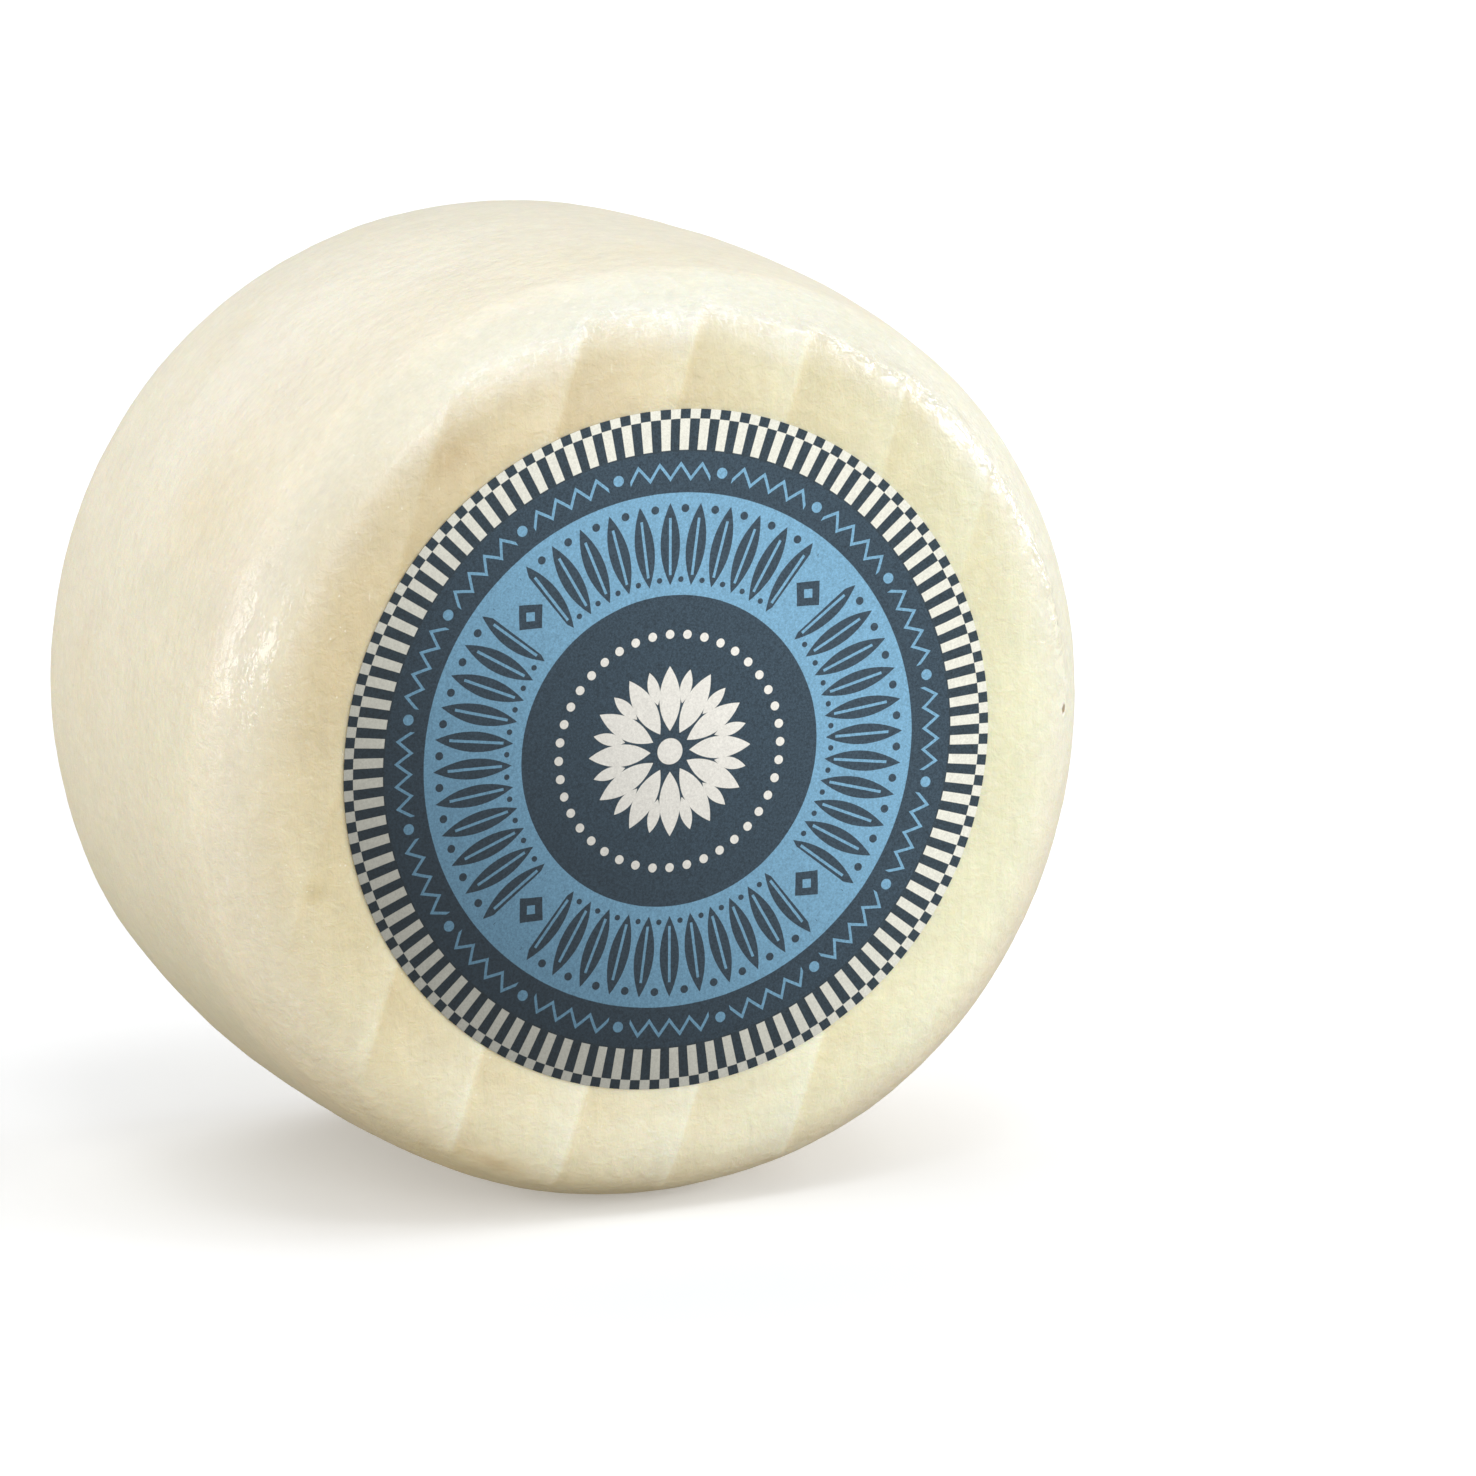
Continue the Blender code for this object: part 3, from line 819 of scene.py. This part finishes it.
def cheese_finish():
    f = Finish("cheese_rind")
    boards, on_face, crest_fade = f.attribute("boards"), f.attribute("on_face"), f.attribute("crest_fade")
    torn, glow, gloss = f.attribute("torn"), f.attribute("glow"), f.attribute("gloss")
    on_rim = on_face.flip()
    plain = f.place()
    along_boards = f.place((1.0, 1.0, 0.16), (0.0, RIDGE_LEAN, 0.0))
    skin = f.vector("skin")  # millimetres along the profile, and round the wheel
    fibres = f.stretched(skin, (1.0, 0.30, 0.30))

    # fields: clouds, mottles, fibres round the rim, and a soft grain along the boards
    cloud = f.noise(plain, 0.085, 3.0, 0.6, 0.5)
    mottle = f.noise(plain, 0.42, 3.0, 0.62, 0.4)
    strand = f.noise(fibres, 0.55, 3.0, 0.65, 0.5)
    fine = f.noise(fibres, 1.9, 3.0, 0.65, 0.4)
    grain = f.noise(along_boards, 0.50, 3.0, 0.6, 0.6)
    dust = f.noise(plain, 2.2, 2.0, 0.6)

    # the boards' marks: a pale line on each crest, then a darker strip on its right; partly the curd's tone, partly
    # painted light on the crest and painted shade in the strip
    colour = f.colour("tint")
    bands = f.bands((boards + REACH) / (2.0 * REACH), BOARD_TONE_AND_SHADE)
    dark = f.mix(1.0, colour, (0.932, 0.876, 0.806), "MULTIPLY")
    pale = f.mix(1.0, colour, (1.040, 1.065, 1.150), "MULTIPLY")
    colour = f.mix(crest_fade * 0.95, colour, f.mix(bands, dark, pale))

    # uneven tone
    tone = cloud.turn(0.30, 0.70, -0.020, 0.020) + mottle.turn(0.28, 0.72, -0.016, 0.016)
    tone = tone + on_rim * (strand.turn(0.30, 0.70, -0.018, 0.015) + fine.turn(0.30, 0.70, -0.030, 0.024))
    tone = tone + on_face * (grain.turn(0.30, 0.70, -0.022, 0.022) + dust.turn(0.30, 0.70, -0.014, 0.014))
    colour = f.scaled(colour, tone + 1.0)
    warmth = f.noise(plain, 0.16, 3.0, 0.6, 0.8)
    colour = f.mix(warmth.turn(0.50, 0.70, 0.0, 0.30), colour, f.mix(1.0, colour, (0.990, 0.965, 0.900), "MULTIPLY"))

    # dabs and streaks of paler curd on the faces, most of them near the lip
    dab = f.noise(plain, 0.34, 4.0, 0.70, 0.9).turn(0.575, 0.70)
    near_lip = (torn * 1.4 + 0.22).clamp()
    colour = f.mix(dab * near_lip * on_face * 0.55, colour, (0.900, 0.870, 0.760))
    streak = f.noise(along_boards, 1.15, 3.0, 0.65, 0.5).turn(0.55, 0.66)
    colour = f.mix(streak * bands.turn(0.50, 0.95) * crest_fade * 0.40, colour, (0.930, 0.910, 0.810))
    colour = f.mix(streak * torn * 0.90, colour, (0.965, 0.962, 0.905))

    # small specks and short scratches
    wavy = f.shifted(plain, f.noise_colour(plain, 0.9, 2.0), 0.9)
    speck = f.cells(wavy, 0.62).turn(0.07, 0.14, 1.0, 0.0) * f.noise(plain, 0.23, 2.0).turn(0.50, 0.60)
    colour = f.mix(speck * 0.50, colour, (0.950, 0.935, 0.850))
    scratch = f.cells(f.shifted(along_boards, f.noise_colour(plain, 0.5, 2.0), 1.1), 0.36).turn(0.03, 0.075, 1.0, 0.0)
    colour = f.mix(scratch * on_face * 0.30, colour, (0.930, 0.910, 0.800))
    fleck = f.cells(f.shifted(f.stretched(skin, (1.0, 0.35, 0.35)), f.noise_colour(plain, 0.8, 2.0), 1.0), 0.55)
    fleck = fleck.turn(0.08, 0.16, 1.0, 0.0)
    colour = f.mix(fleck * on_rim * 0.35, colour, (0.960, 0.940, 0.850))
    crumb = f.noise(f.stretched(skin, (1.0, 0.26, 0.26)), 0.90, 3.0, 0.70, 0.6).turn(0.50, 0.64) * torn
    colour = f.mix(crumb * 0.60, colour, (0.965, 0.965, 0.900))

    # a small dark brown spot with a pale edge, over a shallow dent, on the lip at the right
    pit = f.distance(skin, (76.2, 84.0, 0.44), (1.0, 0.55, 0.55)) + (mottle - 0.5) * 0.6
    colour = f.mix(pit.turn(0.70, 1.05, 0.55, 0.0), colour, (0.960, 0.950, 0.880))
    colour = f.mix(pit.turn(0.36, 0.62, 0.85, 0.0), colour, (0.270, 0.185, 0.095))
    f.link(colour, "Base Color")

    # damp patches shine
    damp = gloss * f.noise(plain, 0.28, 3.0, 0.69, 0.9).turn(0.42, 0.50)
    rough = mottle * 0.16 + dust * 0.12 + 0.33
    wet_sheen = glow * f.noise(f.stretched(skin, (1.0, 0.32, 0.32)), 0.50, 3.0, 0.65, 0.5).turn(0.42, 0.54)
    rough = (rough - damp * 0.20 - wet_sheen * 0.14).most(0.16)
    f.link(rough, "Roughness")
    s = f.shader.inputs
    s["IOR"].default_value = 1.45
    s["Subsurface Weight"].default_value = 0.40
    s["Subsurface Radius"].default_value = (1.0, 0.72, 0.38)
    s["Subsurface Scale"].default_value = 0.0026
    f.link((damp + wet_sheen + torn * 0.12 + 0.04).clamp(), "Coat Weight")
    s["Coat Roughness"].default_value = 0.10
    s["Coat IOR"].default_value = 1.75

    # relief too fine for the mesh, in metres
    calm = ((gloss * -0.88) + (glow * -0.90) + 1.0).most(0.10)
    fine_relief = mottle * 0.00030 + dust * 0.00005 + grain * on_face * 0.00013
    fine_relief = fine_relief + on_rim * (strand * 0.00013 + fine * 0.00008)
    fine_relief = fine_relief + torn * f.noise(f.stretched(skin, (1.0, 0.45, 0.45)), 0.80, 3.0, 0.66, 0.7) * 0.00042
    lumps = f.noise(f.stretched(skin, (1.0, 0.40, 0.40)), 0.85, 2.0, 0.6, 0.5)
    dents = f.noise(f.stretched(skin, (1.0, 0.55, 0.55)), 0.42, 2.0, 0.45, 0.5)
    f.relief(fine_relief * calm + glow * lumps * 0.00017 + gloss * dents * 0.00052 + pit.turn(0.3, 0.8) * 0.00024)
    return f.material


def label_finish():
    """Printed paper: rings of slate and pale blue with simple shapes, inside a rim of stripes and checks."""
    f = Finish("label_paper")
    at = f.place()
    split = f.node("ShaderNodeSeparateXYZ")
    f.tree.links.new(at, split.inputs[0])
    x, z = Value(f.tree, split.outputs["X"]), Value(f.tree, split.outputs["Z"])
    r = ((x * x) + (z * z)).power(0.5)
    angle = z.math("ARCTAN2", x) * (180.0 / math.pi)  # degrees, -180 to 180
    blur = 0.05

    def inside(distance):
        """1 where a distance in millimetres is below zero."""
        return distance.turn(-blur, blur, 1.0, 0.0)

    def sector(period, shift=0.0):
        """Degrees from the middle of the nearest sector."""
        node = (angle + (360.0 * 4.0 + period / 2.0 - shift)).math("MODULO", period)
        return node - period / 2.0

    def along(degrees):
        """Millimetres round the ring from that many degrees."""
        return abs(degrees) * r * (math.pi / 180.0)

    def dot(degrees, radius, size):
        return inside((along(degrees).power(2.0) + (r - radius).power(2.0)).power(0.5) - size)

    def leaf(degrees, middle, half, wide):
        """A pointed leaf along the radius."""
        c = abs(r - middle) / half
        return inside(along(degrees) - (c * c).flip().most(0.0) * wide) * inside(c * half - half)

    slate = (0.0458, 0.0776, 0.1120)
    blue = (0.214, 0.446, 0.666)
    cream = (0.872, 0.886, 0.818)

    # fields of colour
    ring = inside(abs(r - 36.4) - 8.95)

    half = 0.9 * math.pi / 180.0
    stripe = inside(along(sector(3.6, 0.9)) - r * half) * inside(abs(r - 55.5) - 2.72)
    check = inside(along(sector(3.6, 2.7)) - r * half) * inside((r - 58.22) * -1.0)
    paper = stripe.most(check)

    # leaves on the blue ring, in four groups with a diamond between them
    quarter = sector(90.0, 45.0)
    diamond = inside(abs(r - 36.4) + along(quarter) - 3.0)
    diamond = diamond * inside(abs(r - 36.4) + along(quarter) - 1.1).flip()
    clear = inside(abs(quarter) * -1.0 + 6.4)
    leaves = leaf(sector(7.5), 36.4, 7.2, 1.80)
    vein = inside(along(sector(7.5)) - 0.24) * inside(abs(r - 36.0) - 5.0)
    leaves = leaves * clear * vein.flip()
    between = sector(7.5, 3.75)
    dots = dot(between, 42.6, 0.72).most(dot(between, 30.2, 0.50))
    dots = dots * inside(abs(quarter) * -1.0 + 4.6)
    ink = diamond.most(leaves).most(dots)
    ring = ring * ink.flip()

    # a zigzag line with beads in the slate band
    saw = abs(sector(4.5)) / 2.25
    zigzag = inside(abs(r - (saw * 2.6 + 47.75)) - 0.42)
    zigzag = zigzag * inside(abs(sector(22.5, 11.25)) * -1.0 + 2.4)
    bead = dot(sector(22.5, 11.25), 49.05, 0.95)
    ring = ring.most(zigzag).most(bead)

    # a cream rosette in the middle, inside a ring of beads
    bloom = leaf(sector(30.0), 9.3, 5.7, 1.95)
    bloom = bloom.most(leaf(sector(30.0, 15.0), 11.6, 3.0, 1.05)).most(inside(r - 2.3))
    beads = dot(sector(9.0), 20.6, 0.78)
    white = bloom.most(beads)
    paper = paper.most(white)

    # painted shade: the print grows darker towards the lower left; the paper has a fine grain
    grain = f.noise(at, 2.5, 2.0, 0.8)
    fibre = f.noise(f.place((1.0, 1.0, 0.35), (0.0, 0.9, 0.0)), 1.1, 3.0, 0.6)
    turn = math.radians(40.0)
    # painted shade across the label, darkest at the lower left
    painted_shade = ((x * math.cos(turn) + z * math.sin(turn)) / 55.0).turn(-1.28, 0.72, 0.325, 1.0)
    strong = (paper * -0.50) + (ring * -0.28) + 0.72
    tone = painted_shade * ((grain - 0.5) * strong * 2.4 + 1.0) * (fibre.turn(0.3, 0.7, 0.975, 1.025))
    edge_slate = f.mix((r - 55.0).turn(-2.6, -2.4), slate, (0.0385, 0.0620, 0.0850))
    colour = f.mix(ring, edge_slate, blue)
    colour = f.mix(paper, colour, cream)
    colour = f.mix(white, colour, (0.930, 0.930, 0.900))
    f.link(f.scaled(colour, tone), "Base Color")
    f.link(grain * 0.16 + 0.55, "Roughness")
    f.shader.inputs["Specular IOR Level"].default_value = 0.25
    f.relief(grain * 0.00002 + fibre * 0.000025)
    return f.material


# ---------------------------------------------------------------- floor, light, camera
def by_ray(tree, for_camera, for_others):
    """What the camera sees, and what the rest of the light in the room meets."""
    path = tree.nodes.new("ShaderNodeLightPath")
    mix = tree.nodes.new("ShaderNodeMixShader")
    tree.links.new(path.outputs["Is Camera Ray"], mix.inputs[0])
    tree.links.new(for_others, mix.inputs[1])
    tree.links.new(for_camera, mix.inputs[2])
    return mix.outputs[0]


def make_floor():
    mesh = bpy.data.meshes.new("floor")
    size = 6.0
    mesh.from_pydata([(-size, -size, 0.0), (size, -size, 0.0), (size, size, 0.0), (-size, size, 0.0)], [], [(0, 1, 2, 3)])
    floor = bpy.data.objects.new("floor", mesh)
    bpy.context.scene.collection.objects.link(floor)
    material = bpy.data.materials.new("floor")
    material.use_nodes = True
    tree = material.node_tree
    tree.nodes.remove(tree.nodes["Principled BSDF"])
    pale = tree.nodes.new("ShaderNodeBsdfDiffuse")
    pale.inputs["Color"].default_value = (0.920, 0.930, 0.950, 1.0)
    lift = tree.nodes.new("ShaderNodeEmission")
    lift.inputs["Color"].default_value = (0.995, 1.0, 1.005, 1.0)
    lift.inputs["Strength"].default_value = 0.185
    both = tree.nodes.new("ShaderNodeAddShader")
    tree.links.new(pale.outputs[0], both.inputs[0])
    tree.links.new(lift.outputs[0], both.inputs[1])
    warm = tree.nodes.new("ShaderNodeBsdfDiffuse")
    warm.inputs["Color"].default_value = (0.20, 0.17, 0.12, 1.0)
    glow = tree.nodes.new("ShaderNodeEmission")
    glow.inputs["Color"].default_value = (0.20, 0.177, 0.132, 1.0)
    other = tree.nodes.new("ShaderNodeAddShader")
    tree.links.new(warm.outputs[0], other.inputs[0])
    tree.links.new(glow.outputs[0], other.inputs[1])
    seen = by_ray(tree, both.outputs[0], other.outputs[0])
    tree.links.new(seen, tree.nodes["Material Output"].inputs["Surface"])
    mesh.materials.append(material)
    return floor


def soft_sun(name, towards, share, spread, colour=(1.0, 1.0, 1.0)):
    """A wide, even light from the direction given. share 1 alone shows a white surface that faces it as white."""
    light = bpy.data.lights.new(name, "SUN")
    light.energy = share * math.pi
    light.angle = math.radians(spread)
    light.color = colour
    lamp = bpy.data.objects.new(name, light)
    lamp.rotation_mode = "QUATERNION"
    lamp.rotation_quaternion = Vector(towards).to_track_quat("Z", "Y")
    bpy.context.scene.collection.objects.link(lamp)
    return lamp


def make_light():
    world = bpy.data.worlds.new("studio")
    bpy.context.scene.world = world
    world.use_nodes = True
    tree = world.node_tree
    back = tree.nodes["Background"]
    back.inputs["Color"].default_value = (1.0, 1.0, 1.0, 1.0)
    back.inputs["Strength"].default_value = 0.38
    seen = tree.nodes.new("ShaderNodeBackground")
    seen.inputs["Color"].default_value = (1.0, 1.0, 1.0, 1.0)
    seen.inputs["Strength"].default_value = 1.0
    tree.links.new(by_ray(tree, seen.outputs[0], back.outputs[0]), tree.nodes["World Output"].inputs["Surface"])
    soft_sun("left_side", (-0.97, 0.07, 0.22), 0.46, 34.0)
    soft_sun("left_front", (-0.76, -0.64, 0.12), 0.08, 17.0)
    soft_sun("right_front", (0.70, -0.68, 0.20), 0.28, 40.0)
    soft_sun("right_side", (0.94, 0.05, 0.29), 0.13, 14.0)
    soft_sun("right_lip", (0.86, -0.42, 0.30), 0.13, 20.0)
    soft_sun("right_low", (0.985, -0.02, 0.12), 0.09, 13.0)
    soft_sun("front", (0.0, -0.98, 0.20), 0.36, 40.0)
    soft_sun("top_back", (0.0, 0.60, 0.80), 0.20, 40.0)
    soft_sun("overhead", (-0.12, -0.42, 0.90), 0.07, 14.0)
    soft_sun("top_right", (0.42, -0.28, 0.86), 0.07, 14.0)
    soft_sun("right_top", (0.75, -0.10, 0.65), 0.06, 14.0)


def make_camera():
    azimuth, elevation = math.radians(-21.7), math.radians(12.7)
    back = Vector((math.sin(azimuth) * math.cos(elevation), -math.cos(azimuth) * math.cos(elevation), math.sin(elevation)))
    right = Vector((math.cos(azimuth), math.sin(azimuth), 0.0))
    up = back.cross(right)
    distance, frame_side = 1.8, 1476.0
    scale = 5665.0  # pixels of the photograph for each metre at the wheel
    place = AXIS + back * distance
    aim = AXIS + right * ((frame_side / 2.0 - 562.7) / scale) - up * ((frame_side / 2.0 - 692.1) / scale)
    depth = (place - aim).normalized()
    side = up.cross(depth).normalized()
    rise = depth.cross(side)
    data = bpy.data.cameras.new("camera")
    data.sensor_width = 36.0
    data.lens = scale * 36.0 * distance / frame_side
    data.clip_end = 50.0
    camera = bpy.data.objects.new("camera", data)
    camera.matrix_world = Matrix((
        (side.x, rise.x, depth.x, place.x),
        (side.y, rise.y, depth.y, place.y),
        (side.z, rise.z, depth.z, place.z),
        (0.0, 0.0, 0.0, 1.0),
    ))
    bpy.context.scene.collection.objects.link(camera)
    bpy.context.scene.camera = camera


# ---------------------------------------------------------------- the scene
scene = bpy.context.scene
scene.view_settings.view_transform = "Standard"
scene.view_settings.look = "None"
scene.view_settings.exposure = 0.0
scene.view_settings.gamma = 1.0

make_camera()
make_light()
make_floor()

wheel = make_cheese()
wheel.data.materials.append(cheese_finish())
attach(wheel, "root")
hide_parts("cheese")

paper = make_label()
paper.data.materials.append(label_finish())
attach(paper, "root")
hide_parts("label")
